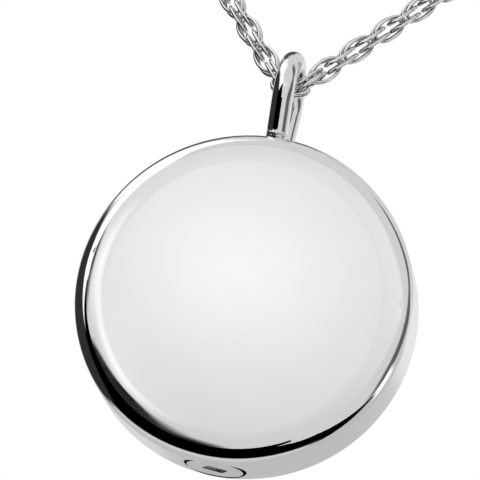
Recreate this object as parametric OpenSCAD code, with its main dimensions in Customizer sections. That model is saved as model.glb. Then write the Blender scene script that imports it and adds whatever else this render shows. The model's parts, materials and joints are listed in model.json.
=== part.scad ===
// Round keepsake urn pendant on a fine chain, in millimetres.
// The origin is where the necklace rests on the nape, at the middle of the clasp.
// +Z is up, the urn's front face looks along -Y, and +X is to the right of someone who faces it.

/* [Urn] */
// Diameter of the round urn
urn_d = 22; // [18:0.5:30]
// Thickness from the front face to the back face
urn_t = 5.5; // [5.2:0.1:8]
// Radius of the rounded edge between each face and the rim
edge_r = 0.9; // [0.4:0.05:1]
// Thickness of the wall behind each face
face_wall = 1; // [0.7:0.1:1.4]
// Depth of solid metal between the rim and the chamber
rim_wall = 2.4; // [2:0.1:3.5]

/* [Bail] */
// Diameter of the bail's round wire
bail_wire_d = 1.4; // [1:0.1:1.6]
// Clear width between the bail's front and back legs where they are widest
bail_w = 3.4; // [2.8:0.1:3.8]
// Height of the bail above the rim
bail_h = 6.4; // [5.8:0.1:8]
// Clearance between the chain and the wire at the top of the bail
bail_clear = 0.2; // [0.2:0.05:0.6]

/* [Fill screw] */
// Diameter of the flat head
head_d = 3.7; // [3.2:0.1:3.7]
// Thickness of the head
head_t = 0.5; // [0.4:0.05:0.8]
// Gap between the head and the wall of its seat
head_gap = 0.2; // [0.1:0.02:0.2]
// Depth of the head's flat outer face inside the lowest line of the rim
head_sink = 0.05; // [0:0.01:0.15]
// Length of the driver slot
slot_l = 1.45; // [1:0.05:1.8]
// Width of the driver slot
slot_w = 1.1; // [0.4:0.05:1.2]
// Depth of the driver slot
slot_depth = 0.25; // [0.1:0.05:0.35]
// Turn of the slot away from the urn's faces
slot_turn = 28; // [-90:1:90]
// Outer diameter of the thread
thread_d = 2.2; // [1.8:0.1:2.6]
// Distance from one thread to the next
thread_pitch = 0.35; // [0.25:0.05:0.5]
// Depth of the thread
thread_depth = 0.14; // [0.05:0.01:0.2]
// Clearance of the thread in its bore, measured on the radius
thread_clear = 0.05; // [0.02:0.01:0.1]

/* [Chain] */
// Length of the whole loop, with the clasp
chain_length = 457; // [380:1:760]
// Diameter of the chain over its links
chain_d = 1.4; // [1:0.1:1.6]
// Angle at which each straight side of the loop climbs from the bail
side_rise = 55; // [45:1:75]
// Lean of the loop back from upright, as it lies on a chest
lean_back = 28; // [0:1:60]

/* [Clasp] */
// Outer diameter of the ring
ring_d = 5.6; // [5:0.1:8]
// Diameter of the ring's round bar
ring_bar_d = 1.2; // [1:0.1:1.6]
// Outer diameter of the eye at each side, which holds the chain's last link
eye_d = 2.3; // [2:0.1:3]
// Diameter of the eye's wire
eye_wire_d = 0.5; // [0.4:0.05:0.6]
// Length of the thumb knob that stands on the ring
knob_l = 0.9; // [0.5:0.1:1.5]
// Gap between the clasp's eye and the chain
end_gap = 0.3; // [0.2:0.05:0.5]

/* [Hidden] */

$fn = 96;
// Overshoot of a cut past the surface it opens
cut = 0.5;

urn_r = urn_d / 2;
chamber_r = urn_r - rim_wall;
chamber_t = urn_t - 2 * face_wall;

// The bail is a bent wire: more than half a ring, then two straight legs that lean towards each other
// and end just under the rim's surface
bail_top_z = urn_r + bail_h - bail_wire_d / 2;
bail_r = (bail_w + bail_wire_d) / 2;
bail_arc_z = bail_top_z - bail_r;
leg_root = 0.15;
// The legs lap this far into the ring, so that ring and legs are one wire
leg_lap = 0.01;
// The legs lean in 7 for every 24 down, a slope whose sine and cosine are short numbers
lean_sine = 7 / 25;
lean_cosine = 24 / 25;
leg_top_y = bail_r * lean_cosine;
leg_top_z = bail_arc_z - bail_r * lean_sine;
leg_l = (leg_top_z - urn_r + leg_root + bail_wire_d / 2 * lean_sine) / lean_cosine;

// The screw's sizes, measured up from the urn's lowest line
head_r = head_d / 2;
head_face_z = -urn_r + head_sink;
under_head = 0.05;
seat_top_z = head_face_z + head_t + under_head;
shank_tip_z = -chamber_r - under_head;
bore_r = thread_d / 2 + thread_clear;
slot_corner_r = 0.15;
head_break = 0.06;
thread_crest = thread_pitch / 4;
thread_count = floor((shank_tip_z - head_face_z - head_t) / thread_pitch);

// The chain passes under the bail's wire in a bend that is concentric with the wire
bend_r = bail_wire_d / 2 + bail_clear + chain_d / 2;
swing_z = bail_top_z - bend_r;

// The loop is a drop: a bend at the bail, two straight sides, and an arc round the neck
rise_arc = side_rise * PI / 180;
neck_r = (chain_length + 2 * bend_r * (tan(side_rise) - rise_arc))
    / (2 * tan(side_rise) + 2 * PI - 2 * rise_arc);
loop_h = bend_r + (neck_r - bend_r) / cos(side_rise) + neck_r;
side_l = (neck_r - bend_r) * tan(side_rise);
neck_centre = -neck_r;

// The clasp's ring and eyes lie in the loop's own plane
ring_r = (ring_d - ring_bar_d) / 2;
eye_r = (eye_d - eye_wire_d) / 2;
eye_x = ring_r + ring_bar_d / 2 + eye_r - eye_wire_d / 4;
clasp_half = eye_x + eye_d / 2;
clasp_arc = asin((clasp_half + end_gap) / neck_r);

// The number of rings on each stretch of the chain's tube, and its sides
bend_steps = 6;
side_steps = 7;
neck_steps = 28;
tube_sides = 8;

// Each route entry is a place in the loop's plane and the chain's heading there
function on_neck(a) = [neck_r * cos(a), neck_centre + neck_r * sin(a), a + 90];
function on_bend(a) = [bend_r * sin(a), bend_r * (1 - cos(a)) - loop_h, a];
function on_side(start, s) =
    [start[0] + s * cos(start[2]), start[1] + s * sin(start[2]), start[2]];
function spread(low, high, steps, i) = low + (high - low) * i / steps;

left_top = 90 + clasp_arc;
left_low = 270 - side_rise;
route = [
    for (i = [0:neck_steps]) on_neck(spread(left_top, left_low, neck_steps, i)),
    for (i = [1:side_steps - 1])
        on_side(on_bend(-side_rise), -side_l * (1 - i / side_steps)),
    for (i = [0:bend_steps]) on_bend(spread(-side_rise, side_rise, bend_steps, i)),
    for (i = [1:side_steps - 1])
        on_side(on_bend(side_rise), side_l * i / side_steps),
    for (i = [0:neck_steps])
        on_neck(spread(side_rise - 90, 90 - clasp_arc, neck_steps, i))
];

// Moves a shape from the urn's own frame, with the urn's centre at zero, to where it hangs
module hung() {
    translate([0, -loop_h * sin(lean_back), -loop_h * cos(lean_back) - swing_z])
        children();
}

// Lays a shape drawn in the upright XZ plane into the leaning plane of the loop
module in_loop() {
    rotate([-lean_back, 0, 0]) children();
}

// A round drum with rounded edges, its axis along Y
module drum(radius, thickness, corner) {
    straight = thickness - 2 * corner;
    rotate([90, 0, 0]) rotate_extrude() union() {
        translate([0, -thickness / 2]) square([radius - corner, thickness]);
        translate([0, -straight / 2]) square([radius, straight]);
        for (side = [-1, 1])
            translate([radius - corner, side * straight / 2]) circle(corner);
    }
}

// Outline of the wedge that is left out of the bail's ring, from one leg to the other
function wedge_outline(reach) = [
    [0, 0],
    [reach * lean_cosine, -reach * lean_sine],
    [reach * lean_cosine, -reach],
    [-reach * lean_cosine, -reach],
    [-reach * lean_cosine, -reach * lean_sine]
];

// The bail on top of the rim, in the plane that looks along X
module bail() {
    translate([0, 0, bail_arc_z]) rotate([90, 0, 90]) difference() {
        rotate_extrude() translate([bail_r, 0]) circle(bail_wire_d / 2);
        linear_extrude(2 * bail_wire_d, center = true)
            polygon(wedge_outline(bail_w + 2 * bail_wire_d));
    }
    for (side = [-1, 1])
        translate([0, side * leg_top_y, leg_top_z])
            rotate([180 - side * asin(lean_sine), 0, 0])
                translate([0, 0, -leg_lap]) cylinder(d = bail_wire_d, h = leg_l + leg_lap);
}

// The hollow urn: chamber, bore and the head's seat are cut out of the drum
module urn() {
    color("silver") hung() {
        difference() {
            drum(urn_r, urn_t, edge_r);
            rotate([90, 0, 0])
                cylinder(r = chamber_r, h = chamber_t, center = true);
            translate([0, 0, -urn_r - cut])
                cylinder(r = head_r + head_gap, h = seat_top_z + urn_r + cut);
            translate([0, 0, -urn_r])
                cylinder(r = bore_r, h = rim_wall + cut);
        }
        bail();
    }
}

// Half the outline of the threaded shank, from under the head to its tip
function thread_outline() = [
    [0, head_face_z + head_t / 2],
    [thread_d / 2 - thread_depth, head_face_z + head_t / 2],
    for (i = [0:thread_count - 1])
        let (low = head_face_z + head_t + i * thread_pitch)
            each [
                [thread_d / 2 - thread_depth, low],
                [thread_d / 2, low + (thread_pitch - thread_crest) / 2],
                [thread_d / 2, low + (thread_pitch + thread_crest) / 2]
            ],
    [thread_d / 2 - thread_depth, head_face_z + head_t + thread_count * thread_pitch],
    [0, head_face_z + head_t + thread_count * thread_pitch]
];

// Half the outline of the flat head, with its edges broken
function head_outline() = [
    [0, head_face_z],
    [head_r - head_break, head_face_z],
    [head_r, head_face_z + head_break],
    [head_r, head_face_z + head_t],
    [0, head_face_z + head_t]
];

// A rectangle with rounded corners, centred
module rounded_slot(length, width, corner) {
    square([length - 2 * corner, width], center = true);
    square([length, width - 2 * corner], center = true);
    for (x = [-1, 1], y = [-1, 1])
        translate([x * (length / 2 - corner), y * (width / 2 - corner)]) circle(corner);
}

module fill_screw() {
    color("gainsboro") hung() difference() {
        union() {
            rotate_extrude() polygon(head_outline());
            rotate_extrude() polygon(thread_outline());
        }
        translate([0, 0, head_face_z - cut]) rotate([0, 0, slot_turn])
            linear_extrude(cut + slot_depth) rounded_slot(slot_l, slot_w, slot_corner_r);
    }
}

// The corners of the tube's ring at one route entry, in the upright XZ plane
function ring_at(entry) = [
    for (k = [0:tube_sides - 1])
        let (a = 360 * k / tube_sides, out = chain_d / 2 * cos(a))
            [
                entry[0] - out * sin(entry[2]),
                chain_d / 2 * sin(a),
                entry[1] + out * cos(entry[2])
            ]
];

// The chain is a closed tube over its links, from one side of the clasp to the other
module chain() {
    last = len(route) - 1;
    corners = [for (entry = route) each ring_at(entry)];
    walls = [
        for (i = [0:last - 1], k = [0:tube_sides - 1])
            let (here = i * tube_sides, next = (k + 1) % tube_sides)
                [here + k, here + next, here + tube_sides + next, here + tube_sides + k]
    ];
    start = [for (k = [tube_sides - 1:-1:0]) k];
    end = [for (k = [0:tube_sides - 1]) last * tube_sides + k];
    color("lightgray") in_loop() polyhedron(corners, [start, each walls, end]);
}

// A plain round ring of wire in the upright XZ plane
module wire_ring(radius, wire_d) {
    rotate([90, 0, 0]) rotate_extrude() translate([radius, 0]) circle(wire_d / 2);
}

module clasp() {
    color("silver") in_loop() {
        wire_ring(ring_r, ring_bar_d);
        for (side = [-1, 1])
            translate([side * eye_x, 0, 0]) wire_ring(eye_r, eye_wire_d);
        translate([0, 0, ring_r]) cylinder(d = ring_bar_d / 2, h = ring_bar_d / 2 + knob_l);
    }
}

urn();
fill_screw();
chain();
clasp();
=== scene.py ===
"""Looks of the keepsake urn pendant: polished silver, the real double links of its chain, and a soft studio.

All places and sizes are in metres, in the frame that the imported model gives.
"""
import json
import math
import random

import bpy
from mathutils import Matrix, Vector


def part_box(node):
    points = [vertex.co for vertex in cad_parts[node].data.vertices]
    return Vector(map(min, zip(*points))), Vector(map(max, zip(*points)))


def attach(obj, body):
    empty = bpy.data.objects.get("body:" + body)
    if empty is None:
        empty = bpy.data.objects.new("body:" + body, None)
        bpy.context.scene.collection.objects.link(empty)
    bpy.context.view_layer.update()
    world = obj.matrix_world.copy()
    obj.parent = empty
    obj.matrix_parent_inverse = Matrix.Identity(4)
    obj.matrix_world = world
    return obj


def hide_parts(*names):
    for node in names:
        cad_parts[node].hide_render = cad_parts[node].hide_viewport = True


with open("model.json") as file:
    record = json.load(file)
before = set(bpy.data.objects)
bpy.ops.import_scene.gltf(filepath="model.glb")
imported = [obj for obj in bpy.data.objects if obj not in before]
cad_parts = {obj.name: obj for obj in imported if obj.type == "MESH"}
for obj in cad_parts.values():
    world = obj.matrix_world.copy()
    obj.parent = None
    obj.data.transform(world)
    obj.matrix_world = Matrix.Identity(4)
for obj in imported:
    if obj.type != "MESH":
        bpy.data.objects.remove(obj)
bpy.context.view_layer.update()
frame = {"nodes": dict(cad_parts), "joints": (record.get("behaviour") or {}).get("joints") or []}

MM = 0.001

# The urn and the point that it swings about, from the frame
urn_low, urn_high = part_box("urn")
URN_R = (urn_high.x - urn_low.x) / 2
URN_CENTRE = Vector(((urn_low.x + urn_high.x) / 2, (urn_low.y + urn_high.y) / 2, urn_low.z + URN_R))
SWING_POINT = Vector(next(j["pos_m"] for j in frame["joints"] if j["name"] == "pendant_swing"))

# The chain's route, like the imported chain's: a bend under the bail, two straight sides and an arc round
# the neck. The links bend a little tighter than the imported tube, and their lowest point is the same.
LOOP_H = SWING_POINT.length
LEAN_BACK = math.atan2(-SWING_POINT.y, -SWING_POINT.z)
BEND_R = 1.1 * MM
SIDE_RISE = math.radians(55)
# The far side of the hole in the clasp's eye, from the clasp's middle
EYE_HOLE_END = 4.225 * MM


class Graph:
    """Short ways to add nodes to one node tree."""

    def __init__(self, tree):
        self.tree = tree
        tree.nodes.clear()

    def add(self, kind, settings=None, **inputs):
        made = self.tree.nodes.new(kind)
        for name, value in (settings or {}).items():
            setattr(made, name, value)
        for name, value in inputs.items():
            self.put(made, name.replace("_", " "), value)
        return made

    def put(self, made, socket, value):
        """Links or sets one input, found by its name or its number."""
        if isinstance(value, bpy.types.NodeSocket):
            self.tree.links.new(value, made.inputs[socket])
        else:
            made.inputs[socket].default_value = value

    def math(self, operation, *values):
        made = self.add("ShaderNodeMath", {"operation": operation})
        for i, value in enumerate(values):
            self.put(made, i, value)
        return made.outputs[0]

    def vector(self, operation, *values, scale=None):
        made = self.add("ShaderNodeVectorMath", {"operation": operation})
        for i, value in enumerate(values):
            self.put(made, i, value)
        if scale is not None:
            self.put(made, "Scale", scale)
        return made.outputs["Value" if operation in ("LENGTH", "DOT_PRODUCT") else "Vector"]

    def smooth(self, value, low, high, to_low=0.0, to_high=1.0):
        """A smooth step of value from low to high."""
        made = self.add("ShaderNodeMapRange", {"interpolation_type": "SMOOTHSTEP"})
        for i, v in enumerate((value, low, high, to_low, to_high)):
            self.put(made, i, v)
        return made.outputs[0]

    def mix(self, factor, a, b):
        made = self.add("ShaderNodeMix", {"data_type": "FLOAT"})
        for i, v in zip((0, 2, 3), (factor, a, b)):
            self.put(made, i, v)
        return made.outputs[0]

    def mix_colour(self, factor, a, b):
        made = self.add("ShaderNodeMix", {"data_type": "RGBA"})
        for i, v in zip((0, 6, 7), (factor, a, b)):
            self.put(made, i, v)
        return made.outputs[2]

    def split(self, vector):
        return self.add("ShaderNodeSeparateXYZ", Vector=vector).outputs

    def noise(self, vector, scale, detail=2.0, roughness=0.5, distortion=0.0):
        made = self.add("ShaderNodeTexNoise", Vector=vector, Scale=scale, Detail=detail,
                        Roughness=roughness, Distortion=distortion)
        return made.outputs["Fac"]


# Camera: a little to the right of the urn, below it, and rolled clockwise as the photo is
CAMERA_AZIMUTH = math.radians(9.25)
CAMERA_ELEVATION = math.radians(-13.55)
CAMERA_ROLL = math.radians(11.2)
CAMERA_DISTANCE = 330 * MM
VIEW_WIDTH = 31.08 * MM
AIM_RIGHT = -0.45 * MM
AIM_UP = 4.305 * MM


def make_camera():
    back = Vector((
        math.sin(CAMERA_AZIMUTH) * math.cos(CAMERA_ELEVATION),
        -math.cos(CAMERA_AZIMUTH) * math.cos(CAMERA_ELEVATION),
        math.sin(CAMERA_ELEVATION),
    ))
    level_right = Vector((0, 0, 1)).cross(back).normalized()
    level_up = back.cross(level_right)
    roll = Matrix.Rotation(-CAMERA_ROLL, 3, -back)
    right, up = roll @ level_right, roll @ level_up
    place = URN_CENTRE + CAMERA_DISTANCE * back
    aim = URN_CENTRE + AIM_RIGHT * right + AIM_UP * up
    axis = (place - aim).normalized()
    right = up.cross(axis).normalized()
    turn = Matrix((right, axis.cross(right), axis)).transposed()

    data = bpy.data.cameras.new("camera")
    data.sensor_width = 36
    data.lens = data.sensor_width * CAMERA_DISTANCE / VIEW_WIDTH
    data.clip_start, data.clip_end = 0.01, 100
    camera = bpy.data.objects.new("camera", data)
    camera.matrix_world = Matrix.Translation(place) @ turn.to_4x4()
    bpy.context.scene.collection.objects.link(camera)
    bpy.context.scene.camera = camera


# Studio: what the silver reflects, as soft-edged cards named by where they stand. A card's middle is an
# azimuth, which is 0 in front of the urn and grows to the right of someone who faces it, and an elevation,
# in degrees. Its half sizes are along and across its tilt, and grey is the tone that it gives in the
# picture, from 0 to 255. A later card lies over the earlier ones.
def card(name, middle, half, grey, soft=4.0, tilt=0.0, oval=False):
    return {"name": name, "middle": middle, "half": half, "grey": grey, "soft": soft,
            "tilt": math.radians(tilt), "oval": oval}


ROOM_GREY = 206
CARDS = [
    card("ceiling right", (60, 72), (32, 9), 120, soft=12),
    card("back wall low", (170, -38), (70, 42), 185, soft=28),
    card("back wall bright", (160, 13), (34, 6), 226, soft=8),
    card("back wall left", (-158, 4), (20, 8), 210, soft=8),
    card("dark behind left", (-146, 45), (34, 18), 80, soft=10),
    card("white tent left", (-75, 52), (42, 17), 255, soft=8),
    card("dark floor", (-5, -20), (100, 54), 4, soft=10, oval=True),
    card("dark floor right", (64, -42), (32, 12), 12, soft=10),
    card("wall left", (-95, 0), (46, 34), 50, soft=7, oval=True),
    card("front card", (48, 30), (64.5, 58.5), 206, soft=0.4, oval=True),
    card("dark corner", (-12.3, -7), (13.8, 14.6), 8, soft=0.6, oval=True),
    card("dim gap", (-16.5, 8), (5.5, 2.6), 46, soft=2, tilt=-28),
    card("front fill", (-11.8, 33.5), (4.05, 21.5), 206, soft=0.3),
    card("front fill low", (-9.45, 12.1), (5.5, 4), 206, soft=0.3, tilt=-29),
    card("front fill left", (-22, 32), (10, 11.5), 206, soft=0.4),
    card("white tent front left", (-40.2, 26.2), (16, 18), 255, soft=3, tilt=36),
    card("right bar high", (89, 44), (22, 10), 92, soft=12, tilt=-50),
    card("right bar low", (81, 5), (28, 14), 92, soft=12, tilt=48),
    card("right strip", (99, -12), (18, 7), 255, soft=5),
]
# Glows that multiply the light round one direction
GLOWS = [
    {"middle": (8, 16.5), "half": (48, 9), "light": 0.3},
    {"middle": (-9.5, 13.9), "half": (2.4, 1.9), "light": 0.27},
    {"middle": (-12, 11.3), "half": (2.6, 2.8), "light": 0.5},
    {"middle": (-14, 13.8), "half": (2.6, 3.2), "light": 0.4},
    {"middle": (177, 4), "half": (9, 7), "light": 0.3},
]


# The share of light that the silver reflects, and the power between the picture's tones and light
SILVER_SHARE = 0.94
TONE_POWER = 2.2
WHITE_GREY = 255


def tone(grey):
    """The light that polished silver needs to give this tone in the picture."""
    return (grey / WHITE_GREY) ** TONE_POWER / SILVER_SHARE


def heading(g, x, y, z):
    """The azimuth and elevation of a direction, in degrees."""
    azimuth = g.math("DEGREES", g.math("ARCTAN2", x, g.math("MULTIPLY", y, -1.0)))
    return azimuth, g.math("DEGREES", g.math("ARCSINE", z))


def offsets(g, azimuth, elevation, middle, tilt=0.0):
    """How far a direction is from a card's middle, along the card's tilt and across it."""
    aside = g.math("WRAP", g.math("SUBTRACT", azimuth, middle[0]), 180.0, -180.0)
    above = g.math("SUBTRACT", elevation, middle[1])
    c, s = math.cos(tilt), math.sin(tilt)
    along = g.math("MULTIPLY_ADD", aside, c, g.math("MULTIPLY", above, s))
    across = g.math("MULTIPLY_ADD", above, c, g.math("MULTIPLY", aside, -s))
    return along, across


def reach(g, along, across, half):
    """1 on the oval with these half sizes, and less inside it."""
    return g.vector("LENGTH", g.add("ShaderNodeCombineXYZ", X=g.math("DIVIDE", along, half[0]),
                                    Y=g.math("DIVIDE", across, half[1])).outputs[0])


def card_mask(g, azimuth, elevation, c):
    """1 on a card and 0 beside it, with the card's soft edge between."""
    along, across = offsets(g, azimuth, elevation, c["middle"], c["tilt"])
    half_soft = c["soft"] / 2
    if c["oval"]:
        edge = half_soft / min(c["half"])
        return g.smooth(reach(g, along, across, c["half"]), 1 + edge, 1 - edge)
    masks = [g.smooth(g.math("ABSOLUTE", off), half + half_soft, half - half_soft)
             for off, half in zip((along, across), c["half"])]
    return g.math("MULTIPLY", *masks)


def make_studio():
    world = bpy.data.worlds.new("studio")
    world.use_nodes = True
    bpy.context.scene.world = world
    world.cycles.sampling_method = "NONE"
    g = Graph(world.node_tree)
    x, y, z = g.split(g.add("ShaderNodeTexCoord").outputs["Generated"])[:3]
    azimuth, elevation = heading(g, x, y, z)
    light = tone(ROOM_GREY)
    for c in CARDS:
        light = g.mix(card_mask(g, azimuth, elevation, c), light, tone(c["grey"]))
    for spot in GLOWS:
        away = reach(g, *offsets(g, azimuth, elevation, spot["middle"]), spot["half"])
        glow = g.math("MULTIPLY", light, g.smooth(away, 1.0, 0.0, 0.0, spot["light"]))
        light = g.math("ADD", light, glow)

    path = g.add("ShaderNodeLightPath")
    shown = g.mix(path.outputs["Is Glossy Ray"], 1.0, light)
    background = g.add("ShaderNodeBackground", Strength=shown)
    background.inputs["Color"].default_value = (1, 1, 1, 1)
    g.add("ShaderNodeOutputWorld", Surface=background.outputs[0])


FLOOR_DEPTH = 1.3
FLOOR_SIZE = 60.0
FLOOR_COLOUR = (0.9, 0.9, 0.89, 1)
FLOOR_ROUGHNESS = 0.9


def make_floor():
    """The pale floor, far below the hanging pendant.

    The silver does not mirror it, and it hides nothing from below.
    """
    half = FLOOR_SIZE / 2
    mesh = bpy.data.meshes.new("floor")
    corners = [(-half, -half, 0), (half, -half, 0), (half, half, 0), (-half, half, 0)]
    mesh.from_pydata(corners, [], [(0, 1, 2, 3)])
    floor = bpy.data.objects.new("floor", mesh)
    floor.location.z = -FLOOR_DEPTH
    floor.visible_glossy = False
    bpy.context.scene.collection.objects.link(floor)
    material = bpy.data.materials.new("pale floor")
    material.use_nodes = True
    g = Graph(material.node_tree)
    shader = g.add("ShaderNodeBsdfPrincipled", Base_Color=FLOOR_COLOUR, Roughness=FLOOR_ROUGHNESS)
    see_through = g.add("ShaderNodeBsdfTransparent")
    shown = g.add("ShaderNodeMixShader")
    g.put(shown, 0, g.add("ShaderNodeNewGeometry").outputs["Backfacing"])
    g.put(shown, 1, shader.outputs[0])
    g.put(shown, 2, see_through.outputs[0])
    g.add("ShaderNodeOutputMaterial", Surface=shown.outputs[0])
    mesh.materials.append(material)


# Chain: pairs of oval links, each pair turned a quarter from the last. Next to the bail and to the clasp
# the pairs are closer and straighter, so that they clear each other where the chain turns.
WIRE_D = 0.235 * MM
LINK_LENGTH = 2.7 * MM
LINK_WIDTH = 1.5 * MM
LINK_PITCH = {-1: 1.5 * MM, 1: 1.43 * MM}
TIGHT_GAP, PAIR_GAP = 0.27 * MM, 0.5 * MM
FAN_TURN = math.radians(2.5)
FAN_TURN_SHARES = (0.6, 1.4)
FAN_SHIFT = 0.04 * MM
FAN_SHIFT_SHARES = (0.5, 1.5)
LOW_ROLL = math.radians(15)
SIDE_ROLL = {-1: math.radians(30), 1: math.radians(42)}
EASE_STATIONS = 3
NEAR_STATIONS = 14
# How far the last link's tip lies inside the hole of the clasp's eye
END_INSET = 0.6 * WIRE_D
# Corners along a link's ring and round its wire
NEAR_MESH = (40, 12)
FAR_MESH = (24, 8)

NECK_R = (LOOP_H + BEND_R * (1 / math.cos(SIDE_RISE) - 1)) / (1 + 1 / math.cos(SIDE_RISE))
SIDE_L = (NECK_R - BEND_R) * math.tan(SIDE_RISE)
BEND_L = BEND_R * SIDE_RISE


def route(s):
    """A place in the loop's plane and the route's bearing there, at length s from the bend's lowest point."""
    side = math.copysign(1, s)
    s = abs(s)
    if s < BEND_L:
        a = s / BEND_R
        u, w = BEND_R * math.sin(a), BEND_R * (1 - math.cos(a)) - LOOP_H
    elif s < BEND_L + SIDE_L:
        a, on = SIDE_RISE, s - BEND_L
        u = BEND_R * math.sin(a) + on * math.cos(a)
        w = BEND_R * (1 - math.cos(a)) - LOOP_H + on * math.sin(a)
    else:
        a = SIDE_RISE + (s - BEND_L - SIDE_L) / NECK_R
        u, w = NECK_R * math.sin(a), -NECK_R - NECK_R * math.cos(a)
    return side * u, w, side * a


def from_loop(u, w):
    """A place or direction in the leaning loop's plane, in the shared frame."""
    return Vector((u, w * math.sin(LEAN_BACK), w * math.cos(LEAN_BACK)))


LOOP_NORMAL = Vector((0, -math.cos(LEAN_BACK), math.sin(LEAN_BACK)))


def add_link(points, faces, centre, along, across, counts):
    """Adds one oval ring of wire to the lists."""
    rounds, sides = counts
    normal = along.cross(across)
    half_l, half_w = (LINK_LENGTH - WIRE_D) / 2, (LINK_WIDTH - WIRE_D) / 2
    first = len(points)
    for i in range(rounds):
        a = 2 * math.pi * i / rounds
        middle = centre + half_l * math.cos(a) * along + half_w * math.sin(a) * across
        outward = (half_w * math.cos(a) * along + half_l * math.sin(a) * across).normalized()
        for k in range(sides):
            b = 2 * math.pi * k / sides
            points.append(middle + WIRE_D / 2 * (math.cos(b) * outward + math.sin(b) * normal))
    for i in range(rounds):
        here, there = first + i * sides, first + (i + 1) % rounds * sides
        for k in range(sides):
            on = (k + 1) % sides
            faces.append((here + k, here + on, there + on, there + k))


def add_pair(points, faces, s, roll, ease, counts, draw):
    """Adds the two links of one station, fanned a little about each other."""
    u, w, bearing = route(s)
    centre = from_loop(u, w)
    along = from_loop(math.cos(bearing), math.sin(bearing))
    across = math.cos(roll) * LOOP_NORMAL.cross(along) + math.sin(roll) * LOOP_NORMAL
    normal = along.cross(across)
    gap = TIGHT_GAP + (PAIR_GAP - TIGHT_GAP) * ease
    for side in (-1, 1):
        fan = Matrix.Rotation(side * FAN_TURN * ease * draw.uniform(*FAN_TURN_SHARES), 3, normal)
        shift = side * FAN_SHIFT * ease * draw.uniform(*FAN_SHIFT_SHARES)
        middle = centre + side * gap / 2 * normal + shift * along
        add_link(points, faces, middle, fan @ along, fan @ across, counts)


def make_chain(material):
    """The whole chain in five joined meshes, from one eye of the clasp to the other.

    The last pairs lie in the plane of the clasp's eyes and cut into them, which is an open fault.
    """
    neck_arc = math.pi - SIDE_RISE
    half = BEND_L + SIDE_L + neck_arc * NECK_R
    end = half - (EYE_HOLE_END - END_INSET + (LINK_LENGTH - WIRE_D) / 2)
    draw = random.Random(7)
    stretches = {}
    for side in (-1, 1):
        count = 2 * round(end / LINK_PITCH[side] / 2) + 1
        pitch = end / count
        for k in range(0 if side > 0 else 1, count + 1):
            near = k <= NEAR_STATIONS
            part = "near" if near else ("left" if side < 0 else "right")
            if not near:
                part += "_low" if k < count / 2 else "_high"
            ease = min(1, k / EASE_STATIONS, (count - k) / EASE_STATIONS)
            roll = LOW_ROLL + (SIDE_ROLL[side] - LOW_ROLL) * min(1, k / EASE_STATIONS)
            roll += (math.pi / 2 - roll) * max(0, k - NEAR_STATIONS) / (count - NEAR_STATIONS)
            points, faces = stretches.setdefault(part, ([], []))
            add_pair(points, faces, side * k * pitch, roll + math.pi / 2 * k, ease,
                     NEAR_MESH if near else FAR_MESH, draw)
    for part, (points, faces) in stretches.items():
        mesh = bpy.data.meshes.new("chain_" + part)
        mesh.from_pydata(points, [], faces)
        mesh.shade_smooth()
        mesh.materials.append(material)
        piece = bpy.data.objects.new("chain_" + part, mesh)
        bpy.context.scene.collection.objects.link(piece)
        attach(piece, "necklace")
        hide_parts("chain")


# Places and heights in the materials are in millimetres, from the urn's middle
CROWN_START, CROWN_END, CROWN_DROP = 9.0, 11.4, 0.07
SMEAR_SCALE, SMEAR_START, SMEAR_FULL = 0.35, 0.45, 0.75
CLOUD_SCALE, CLOUD_SHADE = 0.8, 0.97
SCRATCH_SCALE, SCRATCH_STRETCH, SCRATCH_HEIGHT = 3.0, (1.0, 1.0, 14.0), 0.00002
WAVE_SCALE = 0.22


def crown(g, place):
    """The slight fall of the polished faces towards their edges."""
    x, y, z = g.split(place)[:3]
    flat = g.add("ShaderNodeCombineXYZ", X=x, Z=z).outputs[0]
    return g.smooth(g.vector("LENGTH", flat), CROWN_START, CROWN_END, 0.0, -CROWN_DROP)


def silver(name, colour, roughness, smear=0.02, wave=0.0, shape=None, extra=None):
    """Polished silver: smears that dull it a little, a faint wave in the polish and hair-fine scratches."""
    material = bpy.data.materials.new(name)
    material.use_nodes = True
    g = Graph(material.node_tree)
    place = g.vector("SUBTRACT", g.add("ShaderNodeTexCoord").outputs["Object"], tuple(URN_CENTRE))
    place = g.vector("SCALE", place, scale=1 / MM)
    smears = g.smooth(g.noise(place, SMEAR_SCALE, detail=4, distortion=0.6), SMEAR_START, SMEAR_FULL)
    dull = g.math("MULTIPLY_ADD", smears, smear, roughness)
    cloud = g.noise(place, CLOUD_SCALE, detail=3)
    tint = g.mix_colour(cloud, (*(c * CLOUD_SHADE for c in colour), 1), (*colour, 1))
    scratch_space = g.vector("MULTIPLY", place, SCRATCH_STRETCH)
    scratches = g.noise(scratch_space, SCRATCH_SCALE, detail=3, distortion=0.3)
    height = g.math("MULTIPLY", scratches, SCRATCH_HEIGHT)
    height = g.math("MULTIPLY_ADD", g.noise(place, WAVE_SCALE, detail=1), wave, height)
    if shape:
        height = g.math("ADD", height, shape(g, place))
    if extra:
        tint, dull, height = extra(g, place, tint, dull, height)
    bump = g.add("ShaderNodeBump", Strength=1.0, Distance=MM, Height=height)
    shader = g.add("ShaderNodeBsdfPrincipled", Metallic=1.0, Roughness=dull, Normal=bump.outputs[0])
    g.put(shader, "Base Color", tint)
    g.add("ShaderNodeOutputMaterial", Surface=shader.outputs[0])
    return material


# How far the painted shade between the links looks for other metal, and how open a place is where it starts
# and where it is full
CREVICE_SHADE_REACH, CREVICE_SHADE_START, CREVICE_SHADE_FULL = 0.35 * MM, 0.9, 0.45
CREVICE_SHADE_COLOUR = (0.03, 0.03, 0.03, 1)


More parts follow.
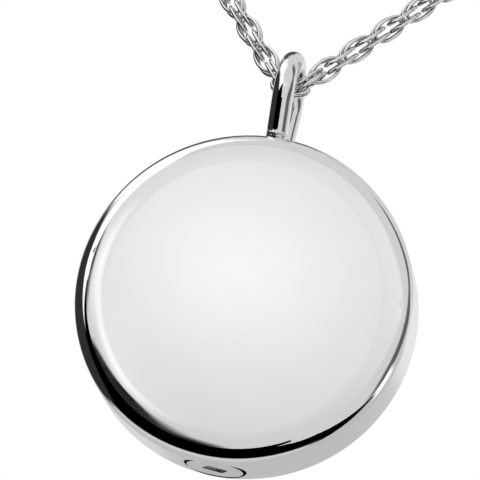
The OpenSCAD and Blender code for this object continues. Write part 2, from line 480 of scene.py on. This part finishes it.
def chain_painted_shade(g, place, tint, dull, height):
    """Painted shade: the links are darkened nearly to black where they come close to each other."""
    open_sky = g.add("ShaderNodeAmbientOcclusion", {"samples": 6}, Distance=CREVICE_SHADE_REACH).outputs["AO"]
    shade = g.smooth(open_sky, CREVICE_SHADE_START, CREVICE_SHADE_FULL)
    # Painted shade: near black where little open sky is seen, between and under the links
    tint = g.mix_colour(shade, tint, CREVICE_SHADE_COLOUR)
    return tint, dull, height


# The head of the fill screw and its seat, and the solder at the bail's feet
HEAD_FACE, SEAT_R, HEAD_R = -10.95, 2.05, 1.85
SEAT_TOP = -10.1
SOLDER_TOP, SOLDER_FOOT, SOLDER_R = 11.3, 10.8, 2.7
SOLDER_HEIGHT = 0.12
UNPOLISHED = 0.22
# Near black, for painted shade in the screw's seat and painted shadow lines on the screw's head
PAINTED_SHADOW_BLACK = (0.02, 0.02, 0.02, 1)


def urn_details(g, place, tint, dull, height):
    """Solder at the bail's feet, which is rougher and darker, and the seat of the screw, which is rougher and
    painted nearly black as shade.
    """
    x, y, z = g.split(place)[:3]
    off_axis = g.vector("LENGTH", g.add("ShaderNodeCombineXYZ", X=x, Y=y).outputs[0])
    grain = g.noise(place, 3.2, detail=3)
    wobble = g.math("MULTIPLY", g.math("SUBTRACT", grain, 0.5), 0.5)
    low = g.math("ADD", g.math("SUBTRACT", z, SOLDER_TOP), wobble)
    on_bail = g.math("MULTIPLY", g.smooth(low, 0.12, -0.12), g.smooth(z, SOLDER_FOOT, 11.0))
    solder = g.math("MULTIPLY", on_bail, g.smooth(off_axis, SOLDER_R, 2.4))
    in_seat = g.math("MULTIPLY", g.smooth(z, SEAT_TOP, -10.2),
                     g.smooth(off_axis, SEAT_R + 0.03, SEAT_R + 0.01))
    # Painted shade: the screw's seat, a recess round the head, is darkened nearly to black
    tint = g.mix_colour(g.math("MULTIPLY", in_seat, 0.93), tint, PAINTED_SHADOW_BLACK)
    dull = g.math("ADD", dull, g.math("MULTIPLY", g.math("MAXIMUM", solder, in_seat), UNPOLISHED))
    height = g.math("ADD", height, g.math("MULTIPLY", solder, g.math("MULTIPLY", grain, SOLDER_HEIGHT)))
    return tint, dull, height


RING_PACE, RING_HEIGHT = 90.0, 0.0001
# Grey for painted shade on the driver slot's inside walls
SLOT_SHADE_TINT = (0.6, 0.6, 0.6, 1)


def screw_details(g, place, tint, dull, height):
    """Turned rings on the head, and a matt driver slot, with painted shade on its inside walls, a painted
    shadow line at its opening and another round the head's side.
    """
    x, y, z = g.split(place)[:3]
    off_axis = g.vector("LENGTH", g.add("ShaderNodeCombineXYZ", X=x, Y=y).outputs[0])
    rings = g.math("SINE", g.math("MULTIPLY", off_axis, RING_PACE))
    height = g.math("MULTIPLY_ADD", rings, RING_HEIGHT, height)
    inside = g.math("MULTIPLY", g.smooth(z, HEAD_FACE + 0.005, HEAD_FACE + 0.015),
                    g.smooth(off_axis, HEAD_R - 0.1, HEAD_R - 0.2))
    lip_shadow = g.math("MULTIPLY", inside, g.smooth(z, HEAD_FACE + 0.04, HEAD_FACE + 0.02))
    edge = g.math("MULTIPLY", g.smooth(z, HEAD_FACE + 0.06, HEAD_FACE + 0.08),
                  g.smooth(off_axis, HEAD_R - 0.02, HEAD_R))
    # Painted shade inside the slot, and painted shadow lines at its opening and round the head's side
    tint = g.mix_colour(inside, tint, SLOT_SHADE_TINT)
    tint = g.mix_colour(g.math("MAXIMUM", lip_shadow, edge), tint, PAINTED_SHADOW_BLACK)
    dull = g.math("MULTIPLY_ADD", inside, 0.1, dull)
    return tint, dull, height


def dress(node, material):
    """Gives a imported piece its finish."""
    mesh = frame["nodes"][node].data
    mesh.materials.clear()
    mesh.materials.append(material)


make_camera()
make_studio()
make_floor()
dress("urn", silver("urn silver", (0.95, 0.95, 0.94), 0.02, wave=0.002, shape=crown, extra=urn_details))
dress("fill_screw", silver("screw silver", (0.86, 0.86, 0.85), 0.14, extra=screw_details))
dress("clasp", silver("clasp silver", (0.93, 0.93, 0.92), 0.04))
make_chain(silver("chain silver", (0.95, 0.95, 0.94), 0.03, extra=chain_painted_shade))
bpy.context.scene.view_settings.view_transform = "Standard"
